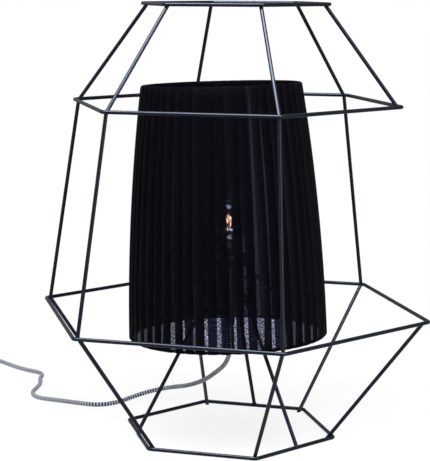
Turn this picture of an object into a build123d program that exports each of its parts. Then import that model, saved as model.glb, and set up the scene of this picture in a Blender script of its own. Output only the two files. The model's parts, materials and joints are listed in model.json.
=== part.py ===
"""Wire bedside lamp: a six-sided wire cage on a wire tripod, with a pleated organza shade.

Millimetres, +Z up, standing on z = 0. The origin lies on the floor below the centre of the
cage's widest ring, and +X points to the corner where the cage is left open.
"""

from build123d import *
import math
import os

# Wire of the cage
WIRE = 4.0
RING_BEND = 5.0             # centre-line radius of a ring's corners
WELD_GAP = 0.15             # between two wires that a weld joins
STACK_GAP = 0.1             # between the ends of two struts that meet at a ring
RING_JOINT = 0.2            # between the butted ends of a ring
RING_JOINT_STEP = 0.45      # how far those ends stand out of line, each way
CAGE_LEAN = 0.46            # degrees, towards LEAN_HEADING
LEAN_HEADING = 16.3

# Rings: radius to the sharp corner, height of the centre line, turn about the axis, joint side
TOP_RADIUS, TOP_HEIGHT, TOP_TURN, TOP_JOINT = 101.8, 462.0, 1.8, 1
UPPER_RADIUS, UPPER_HEIGHT, UPPER_TURN, UPPER_JOINT = 180.3, 357.7, 0.6, 2
LOWER_RADIUS, LOWER_HEIGHT, LOWER_TURN, LOWER_JOINT = 215.5, 134.5, 0.0, 1
BASE_RADIUS, BASE_HEIGHT, BASE_TURN, BASE_JOINT = 116.5, WIRE / 2, 0.0, 3
CROWN_TIP_RISE = 1.5        # of the crown struts' cut ends above the top ring's centre line

CORNERS = ["right", "back_right", "back_left", "left", "front_left", "front_right"]
CORNER_PITCH = 360 / len(CORNERS)
OPEN_CORNER = "right"       # the wall strut left out here lets a hand in to the bulb

# Tripod that carries the lampholder: legs stand on the middles of three base ring sides
LEG_SIDES = {"leg_left": 210.0, "leg_back": 90.0, "leg_right": 330.0}
LEG_FOOT_OUTSET = 0.7       # of a leg's centre from the base ring's, at the wire's top
LEG_HEAD_RADIUS = 26.3      # of a leg's centre from the lamp's axis, at the hub plate

# Seat of the lampholder: heights along its axis count up from the hub plate's top face
SEAT_CENTRE = (-1.0, -0.3, 148.0)
SEAT_LEAN = 2.2
SEAT_LEAN_HEADING = 155.0
HUB_RADIUS = 28.5
HUB_THICKNESS = 2.5
HUB_EDGE = 0.4
NIPPLE_RADIUS = 5.0
NIPPLE_BORE_RADIUS = 3.7
NIPPLE_BELOW = 13.0
NIPPLE_ABOVE = 9.0
THREAD_FIT = 0.05           # radial, between threaded pieces modelled smooth
NUT_ACROSS_FLATS = 14.0
NUT_THICKNESS = 3.0
NUT_CROWN = 0.8             # chamfer of the nut's corners
NIPPLE_END = 0.5            # chamfer of the nipple's ends
FACE_GAP = 0.1              # between stacked faces that turn past each other

# Cord grip below the nut
GRIP_LENGTH = 24.0
GRIP_TOP = -6.0
GRIP_RADIUS = 6.5
GRIP_HEAD_LENGTH = 10.0
GRIP_TIP_RADIUS = 4.0
GRIP_STEP = 1.0             # between its knurled head and its tapered sleeve
CORD_FIT = 0.15             # radial, round the cord

# Lampholder for a small screw cap
CAP_RADIUS = 14.0
CAP_HEIGHT = 20.0
CAP_WALL = 1.6
CAP_FLOOR = 2.2
CAP_SHOULDER = 4.0          # height over which the cap's lower edge is rounded off
CAP_COLLAR_WALL = 2.0       # threaded collar inside the cap, round the nipple
CAP_COLLAR_TOP = 7.0
SKIRT_TOP = 56.0
SKIRT_WALL = 3.0
SKIRT_BORE = CAP_RADIUS - SKIRT_WALL
SPIGOT_DEPTH = 4.0
SHOULDER_TOP = 36.0
SHOULDER_LEDGE = 3.0
SHOULDER_RADIUS = CAP_RADIUS + SHOULDER_LEDGE
SHOULDER_THICKNESS = 2.2
INSULATOR_FIT = 0.15
INSULATOR_BOTTOM = 19.0
INSULATOR_TOP = 52.0
INSULATOR_FLOOR = 27.8
CONTACT_RADIUS = 1.8        # sprung button under the bulb, on a flat tongue
TONGUE_LENGTH = 10.0
TONGUE_WIDTH = 3.6
TONGUE_THICKNESS = 0.5
BULB_CAP_RADIUS = 6.95
SHELL_FIT = 0.2             # radial, from the bulb cap to the brass thread shell
SHELL_WALL = 0.35
SHELL_RADIUS = BULB_CAP_RADIUS + SHELL_FIT + SHELL_WALL
CLAMP_WALL = 7.5
CLAMP_RADIUS = CAP_RADIUS + CLAMP_WALL
CLAMP_HEIGHT = 9.0
CLAMP_GROOVES = 24
CLAMP_EDGE = 0.8
GROOVE_RADIUS = 1.2
GROOVE_OUTSET = 0.6         # of a groove's axis from the clamp ring's outside

# Bulb: a 45 mm ball on a 14 mm screw cap
BULB_RADIUS = 22.5
BULB_CENTRE = 86.0
BULB_WALL = 0.7
BULB_CAP_WALL = 0.3
BULB_CAP_BOTTOM = 33.0
BULB_CAP_TOP = 57.0
BULB_TIP = 30.0
BULB_NECK_RADIUS = 6.3
BULB_NECK_CURVE = 10.0
BULB_NECK_BOTTOM = 54.0
STEM_TOP = 76.0
STEM_RADIUS = 5.2
STEM_FLARE = 9.0            # height of the flared foot of the stem
STEM_WAIST = 2.4
STEM_TIP = 1.4
SOLDER_RADIUS = 2.2
SUPPORT_PITCH = 2.0         # between the two lead wires where they leave the stem
FILAMENT_RISE = 2.5
FILAMENT_BOW = 2.2
FILAMENT_BEND = 0.9
FILAMENT_SPAN = 15.0
FILAMENT_WIRE = 0.7

# Shade: its axis is parallel to the seat's and stands a little to the left of it
SHADE_OFFSET = -4.2
SHADE_BOTTOM = -41.7        # heights along the seat's axis
SHADE_HEIGHT = 271.8
SHADE_BOTTOM_RADIUS = 107.1
SHADE_TOP_RADIUS = 86.5
SHADE_BULGE = 4.2
PLEATS = 48
PLEAT_DEPTH = 1.6
PLEAT_RETURN = 0.12         # share of a pleat's pitch taken by its folded-back edge
FABRIC = 0.8
FABRIC_SPANS = 3
FRAME_WIRE = 2.5
FRAME_GAP = 0.15
FRAME_EDGE = 0.5            # from a frame ring to the fabric's edge
RIBS = 6
RIB_START = 20.0
ARMS = 3
ARM_WIRE = 3.0
ARM_START = 50.0
FITTER_FIT = 0.3            # radial, round the lampholder
FITTER_WIDTH = 3.7
FITTER_BORE = CAP_RADIUS + FITTER_FIT
FITTER_RADIUS = FITTER_BORE + FITTER_WIDTH
FITTER_THICKNESS = 1.5

# Cord: textile-covered, from the grip to an inline switch and on to a coil and the plug
CORD = 5.0
CORD_ON_FLOOR = CORD / 2
LEAD_POINTS = [
    (0.3, -0.7, 118.0),
    (0.8, -0.8, 104.0),
    (-2.8, 7.5, 86.0),
    (-13.5, 21.1, 68.5),
    (-28.7, 37.4, 54.0),
    (-48.5, 58.7, 39.0),
    (-73.7, 80.6, 25.5),
    (-100.3, 96.8, 16.5),
    (-126.1, 99.6, 9.0),
    (-143.7, 85.1, 4.0),
    (-156.2, 63.7, CORD_ON_FLOOR),
    (-172.1, 46.6, CORD_ON_FLOOR),
    (-194.3, 44.2, CORD_ON_FLOOR),
    (-221.6, 51.9, CORD_ON_FLOOR),
    (-246.4, 51.4, CORD_ON_FLOOR),
    (-265.0, 65.2, CORD_ON_FLOOR),
    (-271.1, 89.5, CORD_ON_FLOOR),
    (-274.6, 115.6, CORD_ON_FLOOR),
    (-282.1, 139.4, CORD_ON_FLOOR),
    (-295.7, 159.4, CORD_ON_FLOOR),
    (-316.8, 171.0, CORD_ON_FLOOR),
    (-337.2, 183.7, CORD_ON_FLOOR),
    (-356.9, 197.8, CORD_ON_FLOOR),
    (-374.0, 211.0, CORD_ON_FLOOR),
    (-388.6, 221.0, 5.2),
]
SWITCH_HEADING = 148.0
SWITCH_START = (-416.5, 237.6)
SWITCH_ENTRY = 15.0         # the cord's level run into the switch
SWITCH_EXIT = 13.0          # and out of it
SWITCH_LENGTH = 58.0
SWITCH_WIDTH = 27.0
SWITCH_SPLIT = 7.5          # height of the joint between base and cover, and of the cord
SWITCH_HEIGHT = 17.0
SWITCH_WALL = 2.0
SWITCH_NOSE = 4.0
SWITCH_NOSE_RADIUS = 4.6
SWITCH_SEAM = 0.1
SWITCH_CORNER = SWITCH_WIDTH / 2 - 3.0
SWITCH_TOP_EDGE = 3.0
SWITCH_BOTTOM_EDGE = 1.5
ROCKER_LENGTH = 20.2
ROCKER_WIDTH = 11.4
ROCKER_GAP = 0.35
ROCKER_WINDOW_LENGTH = 22.4
ROCKER_AXIS = 13.0
ROCKER_TILT = 8.0
ROCKER_RISE = 4.6           # of its ends above its pin
ROCKER_DISH = 2.8           # of its middle above its pin
ROCKER_SKIRT = 0.8          # of its ends below its pin
ROCKER_KEEL = 2.8
ROCKER_KEEL_WIDTH = 6.0
ROCKER_PIN = 1.2
ROCKER_PIN_REACH = 1.4
ROCKER_PIN_FIT = 0.08
ROCKER_PIN_END = 0.2        # free length at each end of the pin
ROCKER_WELL = 1.0           # the frame round the rocker stops this far from joint and top
SCREW_SPACING = 44.0
SCREW_HEAD_RADIUS = 2.6
SCREW_SHANK_RADIUS = 1.4
SCREW_HEAD = 1.6
SCREW_SLOT = (4.0, 0.8, 0.7)
SCREW_DEPTH = 0.6           # of the head below the switch's underside
SCREW_HEAD_FIT = 0.2
POST_WALL = 1.4             # round the screw head
POST_ROOM = 1.0             # from a post to the switch's top
HOLE_ROOM = 2.5             # from the screw hole's end to the switch's top
SCREW_ROOM = 4.4            # from the screw's end to the switch's top

# The put-away length, wound flat in two layers beside the plug
COIL_CENTRE = (-490.9, 203.0)
COIL_TURN_RADIUS = 38.0
COIL_PITCH = 1.3 * CORD     # from turn to turn
COIL_LAYER = 1.14 * CORD    # from layer to layer
COIL_TURNS_IN = 5           # half turns
COIL_TURNS_OUT = 4
COIL_LEAST_GAP = 0.4
TO_COIL_POINTS = [
    (-498.7, 282.7, 5.3),
    (-513.9, 277.8, 3.3),
    (-524.6, 265.9, CORD_ON_FLOOR),
    (-528.5, 250.4, CORD_ON_FLOOR),
]
TO_COIL_RUN = 20.0          # the last run, straight into the coil
TO_PLUG_RUN = 14.0
TO_PLUG_TURN = 24.0         # degrees
PLUG_WIDTH = 35.3
PLUG_THICKNESS = 13.7
PLUG_LENGTH = 36.0
PLUG_NOSE = 22.0            # tapered sleeve that keeps the cord from kinking
PLUG_NOSE_RADIUS = 4.2
PLUG_STRAIGHT = 15.0        # length of its parallel sides, behind the pins
PLUG_NECK = 0.36            # share of its half width left at the sleeve
PLUG_SHOULDER = 0.72        # share of its half width half way along the curve
PLUG_SHOULDER_BACK = 9.0
PLUG_EDGE = 1.2
PLUG_SLEEVE_STEP = 1.4
PLUG_SLEEVE_DEPTH = 2.0     # how far the sleeve reaches into the body
PIN_TIP = 0.8
PIN_RADIUS = 2.0
PIN_LENGTH = 19.0
PIN_SPACING = 19.0


def polar(radius, angle, z=0.0):
    turn = math.radians(angle)
    return Vector(radius * math.cos(turn), radius * math.sin(turn), z)


def rod(start, end, diameter):
    """A straight round wire from one point to another."""
    along = Vector(*end) - Vector(*start)
    plane = Plane(origin=start, z_dir=along)
    align = (Align.CENTER, Align.CENTER, Align.MIN)
    return plane * Cylinder(diameter / 2, along.length, align=align)


def tube_along(path, diameter):
    section = Plane(origin=path @ 0, z_dir=path % 0) * Circle(diameter / 2)
    return sweep(section, path=path)


def slab(low, high):
    """Everything between two heights."""
    return Pos(0, 0, low) * Box(900, 900, high - low, align=(Align.CENTER, Align.CENTER, Align.MIN))


def turned(points):
    """A solid of revolution from its outline, given as radius and height pairs."""
    return revolve(Plane.XZ * make_face(Polyline(*points, close=True)), axis=Axis.Z)


def ring_shape(outer, inner, low, high):
    return turned([(inner, low), (outer, low), (outer, high), (inner, high)])


def disc(radius, low, high):
    align = (Align.CENTER, Align.CENTER, Align.MIN)
    return Pos(0, 0, low) * Cylinder(radius, high - low, align=align)


def write(shape, node):
    export_step(shape, f"parts/{node}.step")


class CageRing:
    """A six-sided ring of the cage, bent from one wire whose ends meet in the middle of a side."""

    def __init__(self, radius, height, turn, joint_side):
        self.radius = radius
        self.height = height
        self.turn = turn
        self.joint_side = joint_side
        shift = (height - LOWER_HEIGHT) * math.tan(math.radians(CAGE_LEAN))
        self.centre = polar(shift, LEAN_HEADING, height)

    def corner(self, index, radius=None):
        reach = self.radius if radius is None else radius
        return self.centre + polar(reach, index * CORNER_PITCH + self.turn)

    def apothem(self):
        return self.radius * math.cos(math.radians(CORNER_PITCH / 2))

    def seat(self, slope, other):
        """Radius of a strut's centre line where it lies in the ring's bent corner.

        The strut leads to another ring. At the wider of the two it is cut off level with the
        ring's centre line, and past the narrower one it runs on, so it touches lower down there.
        """
        inset = RING_BEND / math.cos(math.radians(CORNER_PITCH / 2)) - RING_BEND
        across = WIRE / 2 / math.cos(slope)
        touch = WIRE / 2 if self.radius > other.radius else across
        return self.radius - inset - touch - across - WELD_GAP

    def solid(self):
        a = self.corner(self.joint_side)
        b = self.corner(self.joint_side + 1)
        middle = (a + b) * 0.5
        along = (b - a).normalized()
        outward = (middle - self.centre).normalized()
        start = middle + along * (RING_JOINT / 2) + outward * RING_JOINT_STEP
        end = middle - along * (RING_JOINT / 2) - outward * RING_JOINT_STEP
        bends = [self.corner(self.joint_side + 1 + k) for k in range(len(CORNERS))]
        path = FilletPolyline(start, *bends, end, radius=RING_BEND)
        return tube_along(path, WIRE)


def strut(upper, lower, index, top, bottom):
    """A strut between two rings, lying in their corners, its ends cut level."""
    slope = math.atan2(abs(upper.radius - lower.radius), upper.height - lower.height)
    high = upper.corner(index, upper.seat(slope, lower))
    low = lower.corner(index, lower.seat(slope, upper))
    along = (high - low).normalized()
    return rod(low - along * 3 * WIRE, high + along * 3 * WIRE, WIRE) & slab(bottom, top)


top_ring = CageRing(TOP_RADIUS, TOP_HEIGHT, TOP_TURN, TOP_JOINT)
upper_ring = CageRing(UPPER_RADIUS, UPPER_HEIGHT, UPPER_TURN, UPPER_JOINT)
lower_ring = CageRing(LOWER_RADIUS, LOWER_HEIGHT, LOWER_TURN, LOWER_JOINT)
base_ring = CageRing(BASE_RADIUS, BASE_HEIGHT, BASE_TURN, BASE_JOINT)


def build_cage():
    write(top_ring.solid(), "top_ring")
    write(upper_ring.solid(), "upper_ring")
    write(lower_ring.solid(), "lower_ring")
    write(base_ring.solid(), "base_ring")
    tip = TOP_HEIGHT + CROWN_TIP_RISE
    for index, corner in enumerate(CORNERS):
        crown = strut(top_ring, upper_ring, index, tip, UPPER_HEIGHT)
        write(crown, f"crown_strut_{corner}")
        if corner != OPEN_CORNER:
            wall_top = UPPER_HEIGHT - STACK_GAP
            wall_bottom = LOWER_HEIGHT + STACK_GAP / 2
            wall = strut(upper_ring, lower_ring, index, wall_top, wall_bottom)
            write(wall, f"wall_strut_{corner}")
        foot = strut(lower_ring, base_ring, index, LOWER_HEIGHT - STACK_GAP / 2, 0)
        write(foot, f"base_strut_{corner}")


lean = math.radians(SEAT_LEAN)
SEAT_AXIS = polar(math.sin(lean), SEAT_LEAN_HEADING, math.cos(lean))
SEAT = Plane(origin=SEAT_CENTRE, x_dir=(math.cos(lean), 0, -SEAT_AXIS.X), z_dir=SEAT_AXIS)


def build_tripod():
    align = (Align.CENTER, Align.CENTER, Align.MIN)
    above = SEAT * Pos(0, 0, -HUB_THICKNESS - STACK_GAP) * Box(400, 400, 400, align=align)
    foot_height = BASE_HEIGHT + WIRE / 2
    head_height = SEAT_CENTRE[2] - HUB_THICKNESS
    hub = Vector(SEAT_CENTRE[0], SEAT_CENTRE[1], 0)
    for node, side in LEG_SIDES.items():
        foot = base_ring.centre + polar(base_ring.apothem() + LEG_FOOT_OUTSET, side, WIRE / 2)
        head = hub + polar(LEG_HEAD_RADIUS, side, head_height)
        along = (head - foot).normalized()
        leg = rod(foot - along * 2 * WIRE, head + along * 3 * WIRE, WIRE)
        write((leg & slab(foot_height + STACK_GAP, head_height + 3 * WIRE)) - above, node)


def build_seat():
    plate = disc(HUB_RADIUS, -HUB_THICKNESS, 0) - disc(NIPPLE_RADIUS + THREAD_FIT, -HUB_THICKNESS, 0)
    plate = chamfer(plate.edges().filter_by(GeomType.CIRCLE).group_by(SortBy.LENGTH)[-1], HUB_EDGE)
    write(SEAT * plate, "hub_plate")

    nipple = disc(NIPPLE_RADIUS, -NIPPLE_BELOW, NIPPLE_ABOVE)
    nipple = chamfer(nipple.edges().filter_by(GeomType.CIRCLE), NIPPLE_END)
    write(SEAT * (nipple - disc(NIPPLE_BORE_RADIUS, -NIPPLE_BELOW, NIPPLE_ABOVE)), "threaded_nipple")

    nut_low = -HUB_THICKNESS - NUT_THICKNESS
    corner = NUT_ACROSS_FLATS / 2 / math.cos(math.radians(30))
    nut = Pos(0, 0, nut_low) * extrude(RegularPolygon(corner, 6), NUT_THICKNESS)
    crown = turned([(0, nut_low), (corner - NUT_CROWN, nut_low), (corner, nut_low + NUT_CROWN),
                    (corner, -HUB_THICKNESS), (0, -HUB_THICKNESS)])
    nut = (nut & crown) - disc(NIPPLE_RADIUS + THREAD_FIT, nut_low, -HUB_THICKNESS)
    write(SEAT * nut, "hub_nut")

    tip = GRIP_TOP - GRIP_LENGTH
    waist = GRIP_TOP - GRIP_HEAD_LENGTH
    bore = CORD / 2 + CORD_FIT
    socket = NIPPLE_RADIUS + THREAD_FIT
    grip = turned([(bore, tip), (GRIP_TIP_RADIUS, tip), (GRIP_RADIUS - GRIP_STEP, waist),
                   (GRIP_RADIUS, waist + GRIP_STEP), (GRIP_RADIUS, GRIP_TOP), (socket, GRIP_TOP),
                   (socket, -NIPPLE_BELOW - FACE_GAP), (bore, -NIPPLE_BELOW - FACE_GAP)])
    write(SEAT * grip, "cord_grip")
    write(SEAT * disc(CORD / 2, tip, INSULATOR_BOTTOM - 2), "cord_in_stem")


def build_lampholder():
    bore = NIPPLE_RADIUS + THREAD_FIT
    inner = CAP_RADIUS - CAP_WALL
    collar = bore + CAP_COLLAR_WALL
    cap = turned([(bore, 0), (CAP_RADIUS - 0.75 * CAP_SHOULDER, 0),
                  (CAP_RADIUS - 0.2 * CAP_SHOULDER, 0.3 * CAP_SHOULDER), (CAP_RADIUS, CAP_SHOULDER),
                  (CAP_RADIUS, CAP_HEIGHT), (inner, CAP_HEIGHT), (inner, CAP_FLOOR + CAP_WALL),
                  (inner - CAP_WALL, CAP_FLOOR), (collar, CAP_FLOOR), (collar, CAP_COLLAR_TOP),
                  (bore, CAP_COLLAR_TOP)])
    write(SEAT * cap, "lampholder_cap")

    spigot = inner - THREAD_FIT
    low = CAP_HEIGHT - SPIGOT_DEPTH
    under = SHOULDER_TOP - SHOULDER_THICKNESS
    skirt = turned([(SKIRT_BORE, low), (spigot, low), (spigot, CAP_HEIGHT), (CAP_RADIUS, CAP_HEIGHT),
                    (CAP_RADIUS, under - 1.0), (SHOULDER_RADIUS - 0.5, under), (SHOULDER_RADIUS, under + 0.5),
                    (SHOULDER_RADIUS, SHOULDER_TOP), (CAP_RADIUS, SHOULDER_TOP),
                    (CAP_RADIUS, SKIRT_TOP - 0.6), (CAP_RADIUS - 0.6, SKIRT_TOP), (SKIRT_BORE, SKIRT_TOP)])
    write(SEAT * skirt, "lampholder_skirt")

    body = SKIRT_BORE - INSULATOR_FIT
    socket = SHELL_RADIUS + THREAD_FIT
    insulator = turned([(0, INSULATOR_BOTTOM), (body, INSULATOR_BOTTOM), (body, INSULATOR_TOP),
                        (socket, INSULATOR_TOP), (socket, INSULATOR_FLOOR), (0, INSULATOR_FLOOR)])
    write(SEAT * insulator, "lampholder_insulator")

    tongue = Pos(0, 0, INSULATOR_FLOOR) * Box(TONGUE_WIDTH, TONGUE_LENGTH, TONGUE_THICKNESS,
                                              align=(Align.CENTER, Align.CENTER, Align.MIN))
    button = disc(CONTACT_RADIUS, INSULATOR_FLOOR, BULB_TIP - FACE_GAP)
    write(SEAT * (tongue + button), "centre_contact")
    write(SEAT * ring_shape(SHELL_RADIUS, SHELL_RADIUS - SHELL_WALL, INSULATOR_FLOOR + 3,
                            INSULATOR_TOP - 0.5), "thread_shell")

    clamp_low = SHOULDER_TOP + 2 * FACE_GAP + FITTER_THICKNESS
    clamp = ring_shape(CLAMP_RADIUS, CAP_RADIUS + THREAD_FIT, clamp_low, clamp_low + CLAMP_HEIGHT)
    clamp = chamfer(clamp.edges().filter_by(GeomType.CIRCLE).group_by(SortBy.LENGTH)[-1], CLAMP_EDGE)
    grooves = PolarLocations(CLAMP_RADIUS + GROOVE_OUTSET, CLAMP_GROOVES) * Cylinder(
        GROOVE_RADIUS, CLAMP_HEIGHT, align=(Align.CENTER, Align.CENTER, Align.MIN))
    write(SEAT * (clamp - [Pos(0, 0, clamp_low) * groove for groove in grooves]), "shade_clamp_ring")


def glass_outline(wall):
    """Half outline of the bulb's glass, set in by a wall from the outside."""
    ball = BULB_RADIUS - wall
    neck = BULB_NECK_RADIUS - wall
    curve = BULB_NECK_CURVE + wall
    reach = neck + curve
    start = BULB_CENTRE - math.sqrt((ball + curve) ** 2 - reach ** 2)
    fall = math.asin(reach / (ball + curve))
    join = (ball * math.sin(fall), BULB_CENTRE - ball * math.cos(fall))
    half = (math.pi / 2 - fall) / 2
    bend = (reach - curve * math.cos(half), start + curve * math.sin(half))
    top = (0, BULB_CENTRE + ball)
    edges = [
        Line((0, BULB_NECK_BOTTOM), (neck, BULB_NECK_BOTTOM)),
        Line((neck, BULB_NECK_BOTTOM), (neck, start)),
        ThreePointArc((neck, start), bend, join),
        ThreePointArc(join, (ball, BULB_CENTRE), top),
        Line(top, (0, BULB_NECK_BOTTOM)),
    ]
    return revolve(Plane.XZ * make_face(edges), axis=Axis.Z)


def build_bulb():
    write(SEAT * (glass_outline(0) - glass_outline(BULB_WALL)), "bulb_glass")
    inner = BULB_CAP_RADIUS - BULB_CAP_WALL
    cap = turned([(inner, BULB_CAP_BOTTOM), (BULB_CAP_RADIUS, BULB_CAP_BOTTOM),
                  (BULB_CAP_RADIUS, BULB_CAP_TOP), (inner, BULB_CAP_TOP)])
    write(SEAT * cap, "bulb_cap")
    glass = inner - THREAD_FIT
    contact = turned([(0, BULB_TIP), (SOLDER_RADIUS, BULB_TIP), (SOLDER_RADIUS + 0.4, BULB_TIP + 0.9),
                      (glass, BULB_CAP_BOTTOM), (glass, BULB_CAP_BOTTOM + 1.5), (0, BULB_CAP_BOTTOM + 1.5)])
    write(SEAT * contact, "bulb_contact")
    stem = turned([(0, BULB_NECK_BOTTOM), (STEM_RADIUS, BULB_NECK_BOTTOM),
                   (STEM_WAIST, BULB_NECK_BOTTOM + STEM_FLARE), (STEM_TIP + 0.6, STEM_TOP - 2),
                   (STEM_TIP, STEM_TOP), (0, STEM_TOP)])
    write(SEAT * stem, "bulb_stem")
    half = FILAMENT_SPAN / 2
    foot, bow = SUPPORT_PITCH / 2, BULB_CENTRE + FILAMENT_RISE
    points = [(-foot, 0, STEM_TOP + FACE_GAP), (-half, 0, BULB_CENTRE), (-half / 3, FILAMENT_BOW, bow),
              (half / 3, FILAMENT_BOW, bow), (half, 0, BULB_CENTRE), (foot, 0, STEM_TOP + FACE_GAP)]
    filament = tube_along(FilletPolyline(*points, radius=FILAMENT_BEND), FILAMENT_WIRE)
    write(SEAT * filament, "bulb_filament")


def shade_radius(height):
    """Outside radius of the shade at a height above its bottom edge, between fold and hollow."""
    share = height / SHADE_HEIGHT
    straight = SHADE_BOTTOM_RADIUS + (SHADE_TOP_RADIUS - SHADE_BOTTOM_RADIUS) * share
    return straight + 4 * SHADE_BULGE * share * (1 - share)


def pleat_outline(radius):
    """A ring of knife pleats: each a long panel and a short edge folded back under it."""
    pitch = 360 / PLEATS
    points = []
    for pleat in range(PLEATS):
        fold = pleat * pitch
        points.append(polar(radius + PLEAT_DEPTH / 2, fold))
        points.append(polar(radius - PLEAT_DEPTH / 2, fold + pitch * PLEAT_RETURN))
    return make_face(Polyline(*points, close=True))


def build_shade():
    shade = SEAT * Pos(SHADE_OFFSET, 0, SHADE_BOTTOM)
    levels = [SHADE_HEIGHT * k / FABRIC_SPANS for k in range(FABRIC_SPANS + 1)]
    outer = loft([Pos(0, 0, z) * pleat_outline(shade_radius(z)) for z in levels], ruled=True)
    inner = loft([Pos(0, 0, z) * pleat_outline(shade_radius(z) - FABRIC) for z in levels], ruled=True)
    write(shade * (outer - inner), "shade_fabric")

    wire = FRAME_WIRE / 2
    inset = PLEAT_DEPTH / 2 + FABRIC * 1.3 + FRAME_GAP + wire
    low, high = wire + FRAME_EDGE, SHADE_HEIGHT - wire - FRAME_EDGE
    write(shade * Pos(0, 0, low) * Torus(shade_radius(low) - inset, wire), "shade_bottom_ring")
    write(shade * Pos(0, 0, high) * Torus(shade_radius(high) - inset, wire), "shade_top_ring")

    middle = SHADE_HEIGHT / 2
    path = ThreePointArc((shade_radius(low) - inset, 0, low), (shade_radius(middle) - inset, 0, middle),
                         (shade_radius(high) - inset, 0, high))
    rib = tube_along(path, FRAME_WIRE) & slab(low + wire + FRAME_GAP, high - wire - FRAME_GAP)
    ribs = [Rot(0, 0, RIB_START + 360 / RIBS * k) * rib for k in range(RIBS)]
    write(shade * Compound(children=ribs), "shade_ribs")

    fitter_low = SHOULDER_TOP + FACE_GAP
    write(SEAT * ring_shape(FITTER_RADIUS, FITTER_BORE, fitter_low, fitter_low + FITTER_THICKNESS),
          "shade_fitter_ring")
    hub = disc(FITTER_RADIUS + FRAME_GAP, fitter_low - FITTER_RADIUS, fitter_low + FITTER_RADIUS)
    rim = Pos(SHADE_OFFSET, 0, SHADE_BOTTOM + low)
    clearance = rim * Torus(shade_radius(low) - inset, wire + FRAME_GAP)
    arms = []
    for k in range(ARMS):
        angle = ARM_START + 360 / ARMS * k
        inner_end = polar(FITTER_RADIUS - 1, angle, fitter_low + FITTER_THICKNESS / 2)
        outer_end = rim.position + polar(shade_radius(low) - inset, angle)
        arms.append(rod(inner_end, outer_end, ARM_WIRE) - hub - clearance)
    write(SEAT * Compound(children=arms), "shade_arms")


def fitted_radii(points):
    """For each corner of a route, the arc that 0.45 of the shorter run beside it allows."""
    radii = []
    for before, here, after in zip(points, points[1:], points[2:]):
        run_in, run_out = Vector(*here) - Vector(*before), Vector(*after) - Vector(*here)
        half_turn = math.radians(run_in.get_angle(run_out)) / 2
        radii.append(0.45 * min(run_in.length, run_out.length) / math.tan(half_turn))
    return radii


def cord_tube(points, node):
    radii = fitted_radii(points)
    path = FilletPolyline(*points, radius=radii)
    tube = tube_along(path, CORD)
    expected = math.pi * (CORD / 2) ** 2 * path.length
    print(node, "length", round(path.length, 1), "radii", [round(r, 1) for r in radii],
          "volume ratio", round(tube.volume / expected, 4))
    write(tube, node)
    return path.length


def coil_path():
    """Half circles that wind in on the floor, climb a layer on the smallest and wind out again."""
    centre = Vector(*COIL_CENTRE)
    step = COIL_PITCH / 2
    radii = [COIL_TURN_RADIUS - step * k for k in range(COIL_TURNS_IN + 1)]
    radii += [radii[-1] + step * k for k in range(COIL_TURNS_OUT + 1)]
    stations = []
    for k, radius in enumerate(radii):
        layer = COIL_LAYER if k > COIL_TURNS_IN else 0
        stations.append(centre + polar(radius, 180 * (k + 1), CORD_ON_FLOOR + layer))
    straight = Vector(0, CORD, 0)
    edges = [Line(stations[0] + straight, stations[0])]
    for k, (a, b) in enumerate(zip(stations, stations[1:])):
        side = Vector(0, -1 if k % 2 == 0 else 1, 0)
        edges.append(ThreePointArc(a, (a + b) * 0.5 + side * ((b - a).length / 2), b))
    edges.append(Line(stations[-1], stations[-1] - straight))
    return Wire(edges), stations


def least_gap(path, apart):
    """Smallest space between turns, over points further apart along the cord than one given length."""
    count = int(path.length / 2)
    points = [path @ (k / count) for k in range(count + 1)]
    skip = int(apart / path.length * count)
    pairs = ((points[a] - points[b]).length for a in range(count) for b in range(a + skip, count + 1))
    return min(pairs) - CORD


def build_cord():
    heading = polar(1, SWITCH_HEADING)
    entry = Vector(SWITCH_START[0], SWITCH_START[1], SWITCH_SPLIT)
    leave = entry + heading * (SWITCH_LENGTH + 2 * SWITCH_NOSE)
    level_in = entry - heading * SWITCH_ENTRY
    level_out = leave + heading * SWITCH_EXIT
    total = cord_tube(LEAD_POINTS + [tuple(level_in), tuple(entry)], "cord_lead")

    path, stations = coil_path()
    gap = least_gap(path, 4 * CORD)
    print("cord_coil length", round(path.length, 1), "least gap", round(gap, 2))
    assert gap > COIL_LEAST_GAP
    write(tube_along(path, CORD), "cord_coil")
    total += path.length

    into_coil = stations[0] + Vector(0, CORD, 0)
    before_coil = into_coil + Vector(0, TO_COIL_RUN, 0)
    bridge = [tuple(leave), tuple(level_out), *TO_COIL_POINTS, tuple(before_coil), tuple(into_coil)]
    total += cord_tube(bridge, "cord_to_coil")

    out_of_coil = stations[-1] - Vector(0, CORD, 0)
    plug_height = PLUG_THICKNESS / 2
    first = out_of_coil - Vector(0, TO_PLUG_RUN, 0)
    second = first + polar(TO_PLUG_RUN, TO_PLUG_TURN - 90) + Vector(0, 0, plug_height - out_of_coil.Z)
    rear = tuple(second - Vector(0, TO_PLUG_RUN, 0))
    total += cord_tube([tuple(out_of_coil), tuple(first), tuple(second), rear], "cord_to_plug")
    print("cord outside the lamp", round(total + SWITCH_LENGTH, 1))
    build_switch(entry, heading)
    build_plug(rear)


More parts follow.
